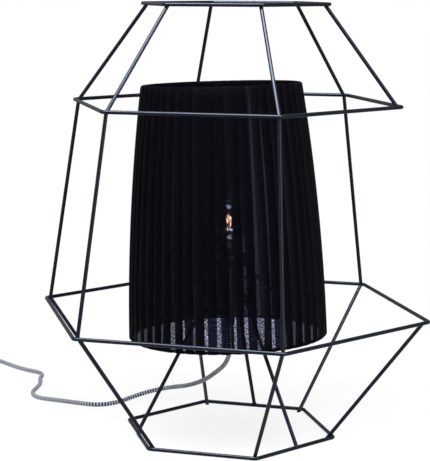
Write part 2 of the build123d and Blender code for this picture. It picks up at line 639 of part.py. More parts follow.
def build_switch(entry, heading):
    middle = entry + heading * (SWITCH_NOSE + SWITCH_LENGTH / 2)
    place = Plane(origin=(middle.X, middle.Y, 0), x_dir=heading, z_dir=(0, 0, 1))
    upright = (Align.CENTER, Align.CENTER, Align.MIN)
    room = SWITCH_LENGTH - 2 * SWITCH_WALL
    plan = RectangleRounded(SWITCH_LENGTH, SWITCH_WIDTH, SWITCH_CORNER)
    hollow = RectangleRounded(room, SWITCH_WIDTH - 2 * SWITCH_WALL, SWITCH_CORNER - SWITCH_WALL)
    nose = Rot(0, 90, 0) * Cylinder(SWITCH_NOSE_RADIUS, SWITCH_LENGTH + 2 * SWITCH_NOSE)
    nose -= Box(room, 3 * SWITCH_NOSE_RADIUS, 3 * SWITCH_NOSE_RADIUS)
    body = extrude(plan, SWITCH_HEIGHT)
    body = fillet(body.faces().sort_by(Axis.Z)[-1].edges(), SWITCH_TOP_EDGE)
    body = fillet(body.faces().sort_by(Axis.Z)[0].edges(), SWITCH_BOTTOM_EDGE)
    body += Pos(0, 0, SWITCH_SPLIT) * nose
    body -= Pos(0, 0, SWITCH_WALL) * extrude(hollow, SWITCH_HEIGHT - 2 * SWITCH_WALL)
    posts = [Pos(x, 0, 0) for x in (-SCREW_SPACING / 2, SCREW_SPACING / 2)]
    for spot in posts:
        body += spot * disc(SCREW_HEAD_RADIUS + POST_WALL, 0, SWITCH_HEIGHT - POST_ROOM)
        body -= spot * disc(SCREW_SHANK_RADIUS + THREAD_FIT, 0, SWITCH_HEIGHT - HOLE_ROOM)
        body -= spot * disc(SCREW_HEAD_RADIUS + SCREW_HEAD_FIT, 0, SCREW_DEPTH + SCREW_HEAD)
    window_width = ROCKER_WIDTH + 2 * ROCKER_GAP
    window = Pos(0, 0, SWITCH_WALL) * Box(ROCKER_WINDOW_LENGTH, window_width, SWITCH_HEIGHT, align=upright)
    well = Box(ROCKER_WINDOW_LENGTH + 2 * SWITCH_WALL, window_width + 2 * SWITCH_WALL,
               SWITCH_HEIGHT - SWITCH_SPLIT - 2 * ROCKER_WELL, align=upright)
    pin_hole = Pos(0, 0, ROCKER_AXIS) * Rot(90, 0, 0) * Cylinder(
        ROCKER_PIN + ROCKER_PIN_FIT, window_width + 2 * ROCKER_PIN_REACH)
    body = (body + Pos(0, 0, SWITCH_SPLIT + ROCKER_WELL) * well) - window - pin_hole
    write(place * (body & slab(0, SWITCH_SPLIT)), "switch_base")
    write(place * (body & slab(SWITCH_SPLIT + SWITCH_SEAM, SWITCH_HEIGHT)), "switch_cover")

    half, keel = ROCKER_LENGTH / 2, ROCKER_KEEL_WIDTH / 2
    profile = Plane.XZ * make_face(Polyline(
        (-half, ROCKER_RISE), (0, ROCKER_DISH), (half, ROCKER_RISE), (half, -ROCKER_SKIRT),
        (keel, -ROCKER_KEEL), (-keel, -ROCKER_KEEL), (-half, -ROCKER_SKIRT), close=True))
    rocker = extrude(profile, ROCKER_WIDTH / 2, both=True)
    pin_length = window_width + 2 * (ROCKER_PIN_REACH - ROCKER_PIN_END)
    rocker += Rot(90, 0, 0) * Cylinder(ROCKER_PIN, pin_length)
    write(place * Pos(0, 0, ROCKER_AXIS) * Rot(0, -ROCKER_TILT, 0) * rocker, "switch_rocker")

    screw = disc(SCREW_HEAD_RADIUS, SCREW_DEPTH, SCREW_DEPTH + SCREW_HEAD)
    screw += disc(SCREW_SHANK_RADIUS, SCREW_DEPTH, SWITCH_HEIGHT - SCREW_ROOM)
    screw -= Pos(0, 0, SCREW_DEPTH) * Box(*SCREW_SLOT, align=upright)
    write(place * Compound(children=[spot * screw for spot in posts]), "switch_screws")


def build_plug(rear):
    """A flat two-pin plug lying on the floor, its pins along -Y."""
    front = -PLUG_NOSE - PLUG_LENGTH
    half = PLUG_WIDTH / 2
    neck, shoulder = half * PLUG_NECK, half * PLUG_SHOULDER
    curve_start, curve_middle = front + PLUG_STRAIGHT, -PLUG_NOSE - PLUG_SHOULDER_BACK
    place = Plane(origin=rear, x_dir=(1, 0, 0), z_dir=(0, 0, 1))
    upright = (Align.CENTER, Align.CENTER, Align.MIN)
    plan = make_face([
        Line((-half, front), (half, front)),
        Line((half, front), (half, curve_start)),
        ThreePointArc((half, curve_start), (shoulder, curve_middle), (neck, -PLUG_NOSE)),
        Line((neck, -PLUG_NOSE), (-neck, -PLUG_NOSE)),
        ThreePointArc((-neck, -PLUG_NOSE), (-shoulder, curve_middle), (-half, curve_start)),
        Line((-half, curve_start), (-half, front)),
    ])
    body = extrude(plan, PLUG_THICKNESS / 2, both=True)
    flats = body.faces().filter_by(Axis.Z)
    body = chamfer([edge for face in flats for edge in face.edges()], PLUG_EDGE)
    sleeve = Rot(-90, 0, 0) * Cone(PLUG_THICKNESS / 2 - PLUG_SLEEVE_STEP, PLUG_NOSE_RADIUS,
                                   PLUG_NOSE + PLUG_SLEEVE_DEPTH, align=upright)
    write(place * (body + Pos(0, -PLUG_NOSE - PLUG_SLEEVE_DEPTH, 0) * sleeve), "plug_body")
    pins = []
    for x in (-PIN_SPACING / 2, PIN_SPACING / 2):
        pin = Pos(x, front, 0) * Rot(90, 0, 0) * Cylinder(PIN_RADIUS, PIN_LENGTH, align=upright)
        pins.append(chamfer(pin.edges().sort_by(Axis.Y)[0], PIN_TIP))
    write(place * Compound(children=pins), "plug_pins")


os.makedirs("parts", exist_ok=True)
build_cage()
build_tripod()
build_seat()
build_lampholder()
build_bulb()
build_shade()
build_cord()
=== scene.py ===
"""Looks of the wire bedside lamp: finishes, pleated organza, lit bulb, braided cord and studio."""

import json
import math
import random

import bpy
import numpy as np
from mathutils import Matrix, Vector


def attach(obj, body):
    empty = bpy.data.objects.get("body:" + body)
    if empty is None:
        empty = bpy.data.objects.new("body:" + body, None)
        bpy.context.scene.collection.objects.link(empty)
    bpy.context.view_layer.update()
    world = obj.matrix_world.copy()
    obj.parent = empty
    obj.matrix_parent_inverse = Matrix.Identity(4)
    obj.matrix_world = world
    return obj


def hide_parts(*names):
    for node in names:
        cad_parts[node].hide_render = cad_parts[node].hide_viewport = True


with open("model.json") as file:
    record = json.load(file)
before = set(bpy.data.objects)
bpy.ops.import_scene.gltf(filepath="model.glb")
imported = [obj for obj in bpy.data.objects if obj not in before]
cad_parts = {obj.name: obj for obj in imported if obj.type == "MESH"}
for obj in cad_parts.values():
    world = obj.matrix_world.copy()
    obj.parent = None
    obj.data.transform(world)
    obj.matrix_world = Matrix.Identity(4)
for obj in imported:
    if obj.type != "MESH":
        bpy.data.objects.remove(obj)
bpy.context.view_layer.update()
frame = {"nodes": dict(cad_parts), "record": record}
nodes = frame["nodes"]
MM = 0.001
WHITE = (1.0, 1.0, 1.0, 1.0)


# Finishes


class Signal:
    """A socket in a finish; arithmetic on it adds Math nodes."""

    def __init__(self, finish, socket):
        self.finish = finish
        self.socket = socket

    def math(self, operation, first, second=None):
        inputs = {0: first} if second is None else {0: first, 1: second}
        return self.finish.node("ShaderNodeMath", {"operation": operation}, inputs)

    def __add__(self, other):
        return self.math("ADD", self, other)

    __radd__ = __add__

    def __mul__(self, other):
        return self.math("MULTIPLY", self, other)

    __rmul__ = __mul__

    def __sub__(self, other):
        return self.math("SUBTRACT", self, other)

    def __rsub__(self, other):
        return self.math("SUBTRACT", other, self)

    def __truediv__(self, other):
        return self.math("DIVIDE", self, other)

    def __pow__(self, other):
        return self.math("POWER", self, other)

    def sine(self):
        return self.math("SINE", self)

    def ping_pong(self, scale):
        return self.math("PINGPONG", self, scale)

    def high(self, other):
        return self.math("MAXIMUM", self, other)

    def ramp(self, start, end, low=0.0, high=1.0):
        """low up to start, high from end, and smooth in between."""
        settings = {"interpolation_type": "SMOOTHSTEP"}
        inputs = {"Value": self, 1: start, 2: end, 3: low, 4: high}
        return self.finish.node("ShaderNodeMapRange", settings, inputs)


class Finish:
    """A material, built node by node. Lengths in it are metres, and a noise's scale is patches in a metre."""

    def __init__(self, name):
        self.material = bpy.data.materials.new(name)
        self.material.use_nodes = True
        self.tree = self.material.node_tree
        self.tree.nodes.clear()

    def node(self, kind, settings=None, inputs=None, output=0):
        """Makes any node; each input is a plain value or a signal."""
        made = self.tree.nodes.new(kind)
        for key, value in (settings or {}).items():
            setattr(made, key, value)
        for key, value in (inputs or {}).items():
            if isinstance(value, Signal):
                self.tree.links.new(value.socket, made.inputs[key])
            else:
                made.inputs[key].default_value = value
        return Signal(self, made.outputs[output]) if made.outputs else None

    def place(self):
        return self.node("ShaderNodeTexCoord", output="Object")

    def split(self, vector):
        return [self.node("ShaderNodeSeparateXYZ", inputs={0: vector}, output=k) for k in range(3)]

    def rays(self):
        """Whether a ray comes straight from the camera, off a gloss, or through glass."""
        kinds = ("Is Camera Ray", "Is Glossy Ray", "Is Transmission Ray")
        return [self.node("ShaderNodeLightPath", output=kind) for kind in kinds]

    def noise(self, vector, scale, detail):
        inputs = {"Vector": vector, "Scale": scale, "Detail": detail}
        return self.node("ShaderNodeTexNoise", inputs=inputs)

    def stretched(self, vector, scale):
        return self.node("ShaderNodeMapping", inputs={"Vector": vector, "Scale": scale})

    def blend(self, factor, first, second):
        """A colour between two others."""
        first, second = ((*c, 1.0) if isinstance(c, tuple) else c for c in (first, second))
        inputs = {0: factor, 6: first, 7: second}
        return self.node("ShaderNodeMix", {"data_type": "RGBA"}, inputs, output=2)

    def bump(self, height, depth):
        return self.node("ShaderNodeBump", inputs={"Height": height, "Distance": depth})

    def surface(self, **sockets):
        """Ends the finish in the main shader; a word's underscores stand for spaces."""
        inputs = {key.replace("_", " "): value for key, value in sockets.items()}
        for key, value in inputs.items():
            if isinstance(value, tuple) and len(value) == 3:
                inputs[key] = (*value, 1.0)
        self.shown(self.node("ShaderNodeBsdfPrincipled", inputs=inputs))

    def shown(self, shader):
        self.node("ShaderNodeOutputMaterial", inputs={"Surface": shader})


class Sky(Finish):
    """The same tools for the nodes of the world."""

    def __init__(self, tree):
        self.tree = tree


def satin_black(name):
    """Sprayed satin paint: fine orange peel, a little uneven in gloss."""
    f = Finish(name)
    here = f.place()
    patches = f.noise(here, 35.0, 3.0)
    peel = f.noise(here, 900.0, 2.0)
    deep = (0.0022, 0.0024, 0.0055)
    pale = (0.0050, 0.0054, 0.0115)
    gloss = 0.25 + 0.10 * patches + 0.015 * peel
    f.surface(Base_Color=f.blend(patches, deep, pale), Roughness=gloss, Specular_IOR_Level=0.5,
              Specular_Tint=(0.72, 0.80, 1.0), Normal=f.bump(peel, 0.000008))
    return f.material


def moulded_black(name, roughness, grain=700.0):
    """Black plastic with a fine sparked texture from its mould."""
    f = Finish(name)
    here = f.place()
    fine = f.noise(here, grain * 2.2, 2.0)
    broad = f.noise(here, 60.0, 2.0)
    deep = (0.009, 0.009, 0.010)
    pale = (0.016, 0.016, 0.018)
    gloss = roughness - 0.06 + 0.12 * fine
    f.surface(Base_Color=f.blend(broad, deep, pale), Roughness=gloss, Specular_IOR_Level=0.35,
              Normal=f.bump(fine, 0.00005))
    return f.material


def plated(name, bright, dull, roughness):
    """Plated or bare metal with fine turning marks and dull patches."""
    f = Finish(name)
    here = f.place()
    turning_marks = 2600.0 / 6
    across = f.noise(f.stretched(here, (1.0, 1.0, 14.0)), turning_marks, 3.0)
    patches = f.noise(here, 120.0, 3.0)
    gloss = roughness + 0.18 * across
    f.surface(Base_Color=f.blend(patches, bright, dull), Metallic=1.0, Roughness=gloss,
              Normal=f.bump(across, 0.00002))
    return f.material


def ceramic(name):
    """Cream ceramic with fine specks."""
    f = Finish(name)
    specks = f.noise(f.place(), 800.0, 3.0)
    tone = f.blend(specks, (0.52, 0.49, 0.43), (0.64, 0.62, 0.56))
    f.surface(Base_Color=tone, Roughness=0.30 + 0.2 * specks, Normal=f.bump(specks, 0.00003))
    return f.material


def clear_glass(name, roughness=0.0):
    """Blown glass with a faint waviness."""
    f = Finish(name)
    waves = f.noise(f.place(), 90.0, 1.0)
    f.surface(Base_Color=WHITE, Roughness=roughness, IOR=1.5, Transmission_Weight=1.0,
              Normal=f.bump(waves, 0.00004))
    return f.material


def glowing_wire(name, strength):
    """Tungsten at a warm white heat, cooler in places."""
    f = Finish(name)
    cooler = f.noise(f.place(), 350.0, 1.0)
    hot = (1.0, 0.56, 0.27)
    warm = (0.75, 0.28, 0.08)
    f.surface(Base_Color=(0.3, 0.3, 0.3), Metallic=1.0, Roughness=0.4,
              Emission_Color=f.blend(cooler.ramp(0.4, 0.8), hot, warm), Emission_Strength=strength)
    return f.material


def organza(name):
    """Thin, closely woven black cloth that lets some light through; UV is metres along and up it.

    The mesh's "clear" opens the weave; a second attribute of the mesh lightens the yarn on the folds that
    stand out, a painted sheen.
    """
    f = Finish(name)
    thread_pitch = 0.00042
    watermark_pitch = 0.0044
    watermark_sway = 0.0034
    cloth = f.node("ShaderNodeUVMap", {"uv_map": "cloth"})
    along, up, _ = f.split(cloth)
    warp = (along * (math.tau / thread_pitch)).sine()
    weft = (up * (math.tau / thread_pitch)).sine()
    threads = 0.5 + 0.25 * warp + 0.25 * weft

    drift = f.noise(f.stretched(cloth, (380.0, 110.0, 1.0)), 1.0, 2.0)
    sway = (along * (math.tau / watermark_sway) + drift * 8.0).sine()
    watered = (up * (math.tau / watermark_pitch) + sway * 2.2 + drift * 7.0).sine()
    grain = f.noise(f.stretched(cloth, (700.0, 520.0, 1.0)), 1.0, 1.0)
    cloudy = f.noise(f.stretched(cloth, (60.0, 9.0, 1.0)), 1.0, 2.0)
    clear = f.node("ShaderNodeAttribute", {"attribute_name": "clear"}, output=2)
    weave = 0.24 + 0.13 * watered + 1.5 * (grain - 0.5) + 0.2 * (cloudy - 0.5)
    open_weave = (weave.high(0.05) * (0.12 + 0.88 * clear)).high(0.03)

    # Painted sheen: a mask from the mesh, streaked by noise, lightens the yarn where the folds stand out
    painted_sheen = f.node("ShaderNodeAttribute", {"attribute_name": "painted_sheen"}, output=2)
    sheen_streaks = f.noise(f.stretched(cloth, (900.0, 10.0, 1.0)), 1.0, 2.0)
    lit = painted_sheen * (0.4 + 1.2 * sheen_streaks)
    # The yarn's colour runs from its dark threads up to a painted sheen colour where that mask is high
    dark = f.blend(threads, (0.0006, 0.0004, 0.0014), (0.0022, 0.0019, 0.0040))
    yarn = f.node("ShaderNodeBsdfPrincipled", inputs={
        "Base Color": f.blend(lit, dark, (0.0080, 0.0078, 0.0115)), "Roughness": 0.50 + 0.16 * threads,
        "Specular IOR Level": 0.02, "Sheen Weight": 0.008, "Sheen Roughness": 0.3,
        "Sheen Tint": (0.80, 0.84, 1.0, 1.0), "Normal": f.bump(threads, 0.00005)})
    gaps = f.node("ShaderNodeBsdfTransparent", inputs={"Color": (0.72, 0.76, 1.0, 1.0)})
    f.shown(f.node("ShaderNodeMixShader", inputs={0: open_weave, 1: yarn, 2: gaps}))
    return f.material


def braid(name, map_name=None):
    """Textile braid in black and white zigzag.

    The map's UV is metres along the cord and turns round it; without a map, the cord runs up the lamp's axis.
    """
    f = Finish(name)
    band_pair = 0.0034
    zigzags_round = 4.0
    zigzag_depth = 0.22
    strand_pitch = 0.0008
    strands_round = 16.0
    if map_name:
        along, round_it, _ = f.split(f.node("ShaderNodeUVMap", {"uv_map": map_name}))
    else:
        x, y, along = f.split(f.place())
        round_it = y.math("ARCTAN2", y, x) / math.tau
    zigzag = (round_it * zigzags_round).ping_pong(1.0)
    stripe = ((along / band_pair + zigzag * zigzag_depth) * math.tau).sine()
    rising = ((along / strand_pitch + round_it * strands_round) * math.tau).sine()
    falling = ((along / strand_pitch - round_it * strands_round) * math.tau).sine()
    fuzz = f.noise(f.place(), 2400.0, 2.0)
    black = f.blend(fuzz, (0.004, 0.004, 0.007), (0.014, 0.015, 0.024))
    white = f.blend(fuzz, (0.42, 0.43, 0.49), (0.68, 0.69, 0.76))
    height = 0.6 * (rising * falling) + 0.4 * fuzz
    f.surface(Base_Color=f.blend(stripe.ramp(0.0, 0.45), black, white), Roughness=0.70 + 0.15 * fuzz,
              Sheen_Weight=0.2, Normal=f.bump(height, 0.00022))
    return f.material


# Mesh helpers


def placed(name, mesh, body):
    """A finished mesh as an object in place, riding on its body."""
    made = bpy.data.objects.new(name, mesh)
    bpy.context.scene.collection.objects.link(made)
    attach(made, body)
    return made


def piece(name, points, faces, finish, body, map_name, places):
    """A smooth mesh in place; places gives each face corner's place on its UV map."""
    mesh = bpy.data.meshes.new(name)
    mesh.from_pydata([tuple(p) for p in points], [], faces)
    mesh.validate()
    mesh.materials.append(finish)
    mesh.shade_smooth()
    layer = mesh.uv_layers.new(name=map_name)
    layer.data.foreach_set("uv", np.array(places, np.float32).ravel())
    return placed(name, mesh, body)


def closed_grid(rows, columns, place):
    """Faces of a grid that closes round its columns, and each face corner's place(row, column) on the map."""
    faces, places = [], []
    for r in range(rows - 1):
        for c in range(columns):
            here = r * columns
            above = here + columns
            beside = (c + 1) % columns
            faces.append((here + c, here + beside, above + beside, above + c))
            places += [place(r, c), place(r, c + 1), place(r + 1, c + 1), place(r + 1, c)]
    return faces, places


def curve_line(name, points):
    """Points read from one smooth spline that has the given control points."""
    data = bpy.data.curves.new(name, "CURVE")
    data.dimensions = "3D"
    data.resolution_u = 14
    spline = data.splines.new("NURBS")
    spline.points.add(len(points) - 1)
    for point, place in zip(spline.points, points):
        point.co = (*place, 1.0)
    spline.order_u = 3
    spline.use_endpoint_u = True
    holder = bpy.data.objects.new(name, data)
    mesh = bpy.data.meshes.new_from_object(holder)
    line = [v.co.copy() for v in mesh.vertices]
    bpy.data.objects.remove(holder)
    bpy.data.meshes.remove(mesh)
    return line


def spaced(line, step):
    """The line again, its points evenly apart, with the distance along it at each."""
    here = np.array(line, float)
    runs = np.linalg.norm(np.diff(here, axis=0), axis=1)
    along = np.concatenate([[0.0], np.cumsum(runs)])
    places = np.linspace(0.0, along[-1], max(2, math.ceil(along[-1] / step) + 1))
    even = np.stack([np.interp(places, along, here[:, k]) for k in range(3)], axis=1)
    return [Vector(p) for p in even], places


def tube(name, line, radius, sides, step, finish):
    """A closed tube along a line, on the lamp's body; its map "cord" is metres along and turns round it."""
    centres, along = spaced(line, step)
    tangents = [(b - a).normalized() for a, b in zip(centres, centres[1:])]
    tangents.append(tangents[-1])
    side = tangents[0].orthogonal().normalized()
    points = []
    for k, centre in enumerate(centres):
        ahead = (tangents[k - 1] + tangents[k]).normalized() if k else tangents[0]
        side = (side - ahead * side.dot(ahead)).normalized()
        other = ahead.cross(side)
        for j in range(sides):
            turn = math.tau * j / sides
            points.append(centre + (side * math.cos(turn) + other * math.sin(turn)) * radius)
    faces, places = closed_grid(len(centres), sides, lambda r, c: (along[r], c / sides))
    last = (len(centres) - 1) * sides
    faces.append(tuple(reversed(range(sides))))
    faces.append(tuple(range(last, last + sides)))
    places += [(along[0], j / sides) for j in reversed(range(sides))]
    places += [(along[-1], j / sides) for j in range(sides)]
    return piece(name, points, faces, finish, "lamp", "cord", places)


# Camera

CAMERA_PLACE = (0.47242, -1.6194, 0.4839)
CAMERA_DEGREES = (81.1360, -0.1710, 16.8833)
CAMERA_LENS = 124.2
CAMERA_SENSOR = 36.0

camera_data = bpy.data.cameras.new("camera")
camera_data.sensor_width = CAMERA_SENSOR
camera_data.lens = CAMERA_LENS
camera = bpy.data.objects.new("camera", camera_data)
camera.location = CAMERA_PLACE
camera.rotation_euler = [math.radians(a) for a in CAMERA_DEGREES]
bpy.context.scene.collection.objects.link(camera)
bpy.context.scene.camera = camera

# Cords: control points from the grip down to the floor and the switch, then on by the coil to the plug

CORD = 0.005
CORD_SIDES = 14
CORD_STEP = 0.0018
ON_FLOOR = CORD / 2
IN_SWITCH = 0.0075
IN_PLUG = 0.00685
COIL_PITCH = 1.3 * CORD
ON_COIL = ON_FLOOR + 1.14 * CORD
# Fitted to the photo's bend, and so up to 6.2 mm off the CAD's route
LEAD_ROUTE = [
    (0.0003, -0.0007, 0.118), (0.0008, -0.0008, 0.104), (-0.0028, 0.0075, 0.086),
    (-0.0113, 0.0198, 0.0685), (-0.0278, 0.0363, 0.054), (-0.0466, 0.0564, 0.039),
    (-0.0725, 0.0766, 0.0255), (-0.1007, 0.0971, 0.0165), (-0.1264, 0.1019, 0.009),
    (-0.1447, 0.0862, 0.004), (-0.155, 0.0614, ON_FLOOR), (-0.1716, 0.0446, ON_FLOOR),
    (-0.1937, 0.046, ON_FLOOR), (-0.2218, 0.0509, ON_FLOOR), (-0.2458, 0.0529, ON_FLOOR),
    (-0.2571, 0.0596, ON_FLOOR), (-0.2633, 0.068, ON_FLOOR), (-0.2675, 0.0775, ON_FLOOR),
    (-0.2697, 0.0893, ON_FLOOR), (-0.2715, 0.1017, ON_FLOOR), (-0.2739, 0.1146, ON_FLOOR),
    (-0.2785, 0.1267, ON_FLOOR), (-0.285, 0.1399, ON_FLOOR), (-0.2882, 0.1562, ON_FLOOR),
    (-0.2973, 0.1686, ON_FLOOR), (-0.3178, 0.1748, ON_FLOOR), (-0.3382, 0.186, ON_FLOOR),
    (-0.3567, 0.1998, ON_FLOOR), (-0.374, 0.211, ON_FLOOR), (-0.3886, 0.221, 0.0052),
    (-0.40378, 0.22965, IN_SWITCH), (-0.4165, 0.2376, IN_SWITCH),
]
SWITCH_EXIT = (-0.47247, 0.27257, IN_SWITCH)
TO_COIL = [
    SWITCH_EXIT, (-0.4835, 0.27946, IN_SWITCH), (-0.4987, 0.2827, 0.0053), (-0.5139, 0.2778, 0.0033),
    (-0.5246, 0.2659, ON_FLOOR), (-0.5285, 0.2504, ON_FLOOR), (-0.5289, 0.228, ON_FLOOR),
    (-0.5289, 0.2105, ON_FLOOR),
]
COIL_CENTRE = Vector((-0.4909, 0.203, 0.0))
COIL_RADIUS = 0.038
COIL_HALF_TURNS = 6
COIL_POINTS = 7
TO_PLUG = [
    (-0.52565, 0.1955, ON_COIL), (-0.52565, 0.184, ON_COIL), (-0.51996, 0.1712, IN_PLUG),
    (-0.51996, 0.1572, IN_PLUG),
]


def coil_route():
    """Half turns of shrinking radius on the floor, then of growing radius on top of them."""
    inward = [(COIL_RADIUS - COIL_PITCH / 2 * k, ON_FLOOR) for k in range(COIL_HALF_TURNS)]
    outward = [(radius, ON_COIL) for radius, _ in reversed(inward[1:])]
    stations = [COIL_CENTRE + Vector(((-1) ** (k + 1) * radius, 0.0, height))
                for k, (radius, height) in enumerate(inward + outward)]
    reach = 1.0 / math.cos(math.pi / COIL_POINTS / 2)
    route = []
    for k, (a, b) in enumerate(zip(stations, stations[1:])):
        middle = (a + b) / 2
        half = (b - a).length / 2 * reach
        start = math.pi if k % 2 == 0 else 0.0
        for j in range(COIL_POINTS):
            turn = math.pi * (j + 0.5) / COIL_POINTS
            rise = (1 - math.cos(turn)) / 2
            spot = middle + Vector((math.cos(start + turn), math.sin(start + turn), 0.0)) * half
            route.append((spot.x, spot.y, a.z + (b.z - a.z) * rise))
    return route


def cord(name, line):
    """A length of the lamp's braided cord."""
    return tube(name, line, CORD / 2, CORD_SIDES, CORD_STEP, cord_finish)


cord_finish = braid("cord_braid", "cord")
lead_line = curve_line("lead_line", LEAD_ROUTE)
lead = cord("lead_cord", lead_line)
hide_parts("cord_lead")

tail_line = curve_line("tail_line", TO_COIL + coil_route() + TO_PLUG)
tail = cord("plug_cord", tail_line)
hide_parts("cord_to_coil", "cord_coil", "cord_to_plug")

# Pleated shade: organza in knife pleats, wrapped round the frame's two rings

SEAT = Vector((-0.001, -0.0003, 0.148))
SEAT_UP = Vector((-0.03479, 0.01622, 0.99926)).normalized()
SEAT_RIGHT = Vector((0.99926, 0.0, 0.03479)).normalized()
SEAT_BACK = SEAT_UP.cross(SEAT_RIGHT)
SHADE_LEFT = 0.0042
SHADE_DROP = 0.0417
SHADE_BASE = SEAT - SEAT_RIGHT * SHADE_LEFT - SEAT_UP * SHADE_DROP
SHADE_HEIGHT = 0.2718
FOOT_RADIUS = 0.1071
TAPER = 0.0206
BOW = 0.0168
# From the shade's outer line in to the middle of a ring's wire, and to the cloth's inner face
RIM_IN = 0.00324
WALL_IN = 0.00169
LOW_RIM = 0.00175
HIGH_RIM = 0.27005
WRAP_STEPS = 8
WALL_STEPS = 30
HEM_STEPS = 4
HEM_STEP = 0.002
PLEATS = 48
PLEAT_CLOTH = 0.0326
FOLD_START = math.radians(-79.14)
# A fold sways through this many radians of a wave up the shade, and its tuck changes in the lowest fifth
SWAY_WAVE = 5
HEM_SHARE = 0.2
# A pleat's cloth is measured this far out from its inner face
CLOTH_OUT = 0.0015
# How much the pleats stand out on the wall and on the rings, how far they are off the frame, and how far the
# cloth is set aside to the camera's right: each at the foot, and how much of it is lost by the top
WALL_LOFT, WALL_LOFT_LOST = 0.85, 0.25
WRAP_LOFT, WRAP_LOFT_LOST = 0.4, 0.1
STAND_OFF, STAND_OFF_LOST = 0.0006, 0.0004
ASIDE, ASIDE_SHARE_LOST = Vector((0.957, 0.291, 0.0)) * 0.0009, 0.7
# Degrees by which the folds at the front stand off an even pitch, and how clear their cloth is
NUDGED = {-14: 0.3, -13: 0.6, -12: 1.0, -11: 1.5, -10: 2.0, -9: 2.5, -8: 3.0, -7: 3.2, -6: 3.4, -5: 3.0,
          -4: 2.4, -3: 2.5, -2: 1.5, -1: 0.3, 1: -0.5, 4: 0.7, 5: 0.4}
CLEAR = {-8: 0.05, -7: 0.06, -6: 0.1, -5: 0.14, -4: 0.5, -3: 0.8, -2: 0.25, -1: 1.0, 0: 0.9, 1: 1.0, 2: 0.85,
         3: 0.55, 4: 1.0, 5: 0.06, 6: 0.08, 7: 0.16, 8: 0.1, 9: 0.05}


def shade_radius(height):
    share = height / SHADE_HEIGHT
    return FOOT_RADIUS - TAPER * share + BOW * share * (1 - share)


def shade_place(radius, angle, height):
    flat = SEAT_RIGHT * math.cos(angle) + SEAT_BACK * math.sin(angle)
    return SHADE_BASE + flat * radius + SEAT_UP * height


def round_wire(height, degrees):
    """Where the cloth lies on a ring's wire, and which way is out of it there."""
    turn = math.radians(degrees)
    out, up = math.cos(turn), math.sin(turn)
    wrap = RIM_IN - WALL_IN
    return shade_radius(height) - RIM_IN + wrap * out, height + wrap * up, out, up


def meridian():
    """Radius, height and outward direction of the cloth's inner face, from its lower hem to its upper one."""
    line = [round_wire(LOW_RIM, -175 + 175 * k / WRAP_STEPS) for k in range(WRAP_STEPS + 1)]
    for k in range(1, WALL_STEPS):
        height = LOW_RIM + (HIGH_RIM - LOW_RIM) * k / WALL_STEPS
        line.append((shade_radius(height) - WALL_IN, height, 1.0, 0.0))
    line += [round_wire(HIGH_RIM, 180 * k / WRAP_STEPS) for k in range(WRAP_STEPS + 1)]
    inner = line[-1][0]
    line += [(inner, HIGH_RIM - HEM_STEP * k, -1.0, 0.0) for k in range(1, HEM_STEPS + 1)]
    return line


def pleat_section(face, under):
    """One pleat, as wide as face and with under tucked in: place along it, lift in millimetres, and a share
    of painted sheen.
    """
    hidden = face - under
    section = []
    # The single layer rises
    for f in (0.0, 0.5, 0.95):
        section.append((f * hidden, 0.10 + 1.25 * f * f, 0.8 - 0.3 * f))
    # The outer layer covers the hidden fold and turns back, in three points, at the fold that shows
    for f in (0.1, 0.4, 0.7, 0.94):
        section.append((hidden + f * under, 1.33 + 0.12 * math.sin(f * math.pi), 0.45 * (1 - f) ** 2))
    section += [(face - 0.00012, 1.36, 0.0), (face, 1.15, 0.0), (face - 0.0001, 0.92, 0.0)]
    # The middle layer runs back and turns on, in three points, at the hidden fold
    for f in (0.08, 0.5, 0.9):
        section.append((face - f * under, 0.76, 0.0))
    section += [(hidden + 0.00008, 0.70, 0.0), (hidden, 0.48, 0.0), (hidden + 0.0001, 0.24, 0.0)]
    # The inner layer runs on to the next pleat
    for f in (0.12, 0.5, 0.8, 0.95):
        section.append((hidden + f * under, 0.10, 0.0))
    return section


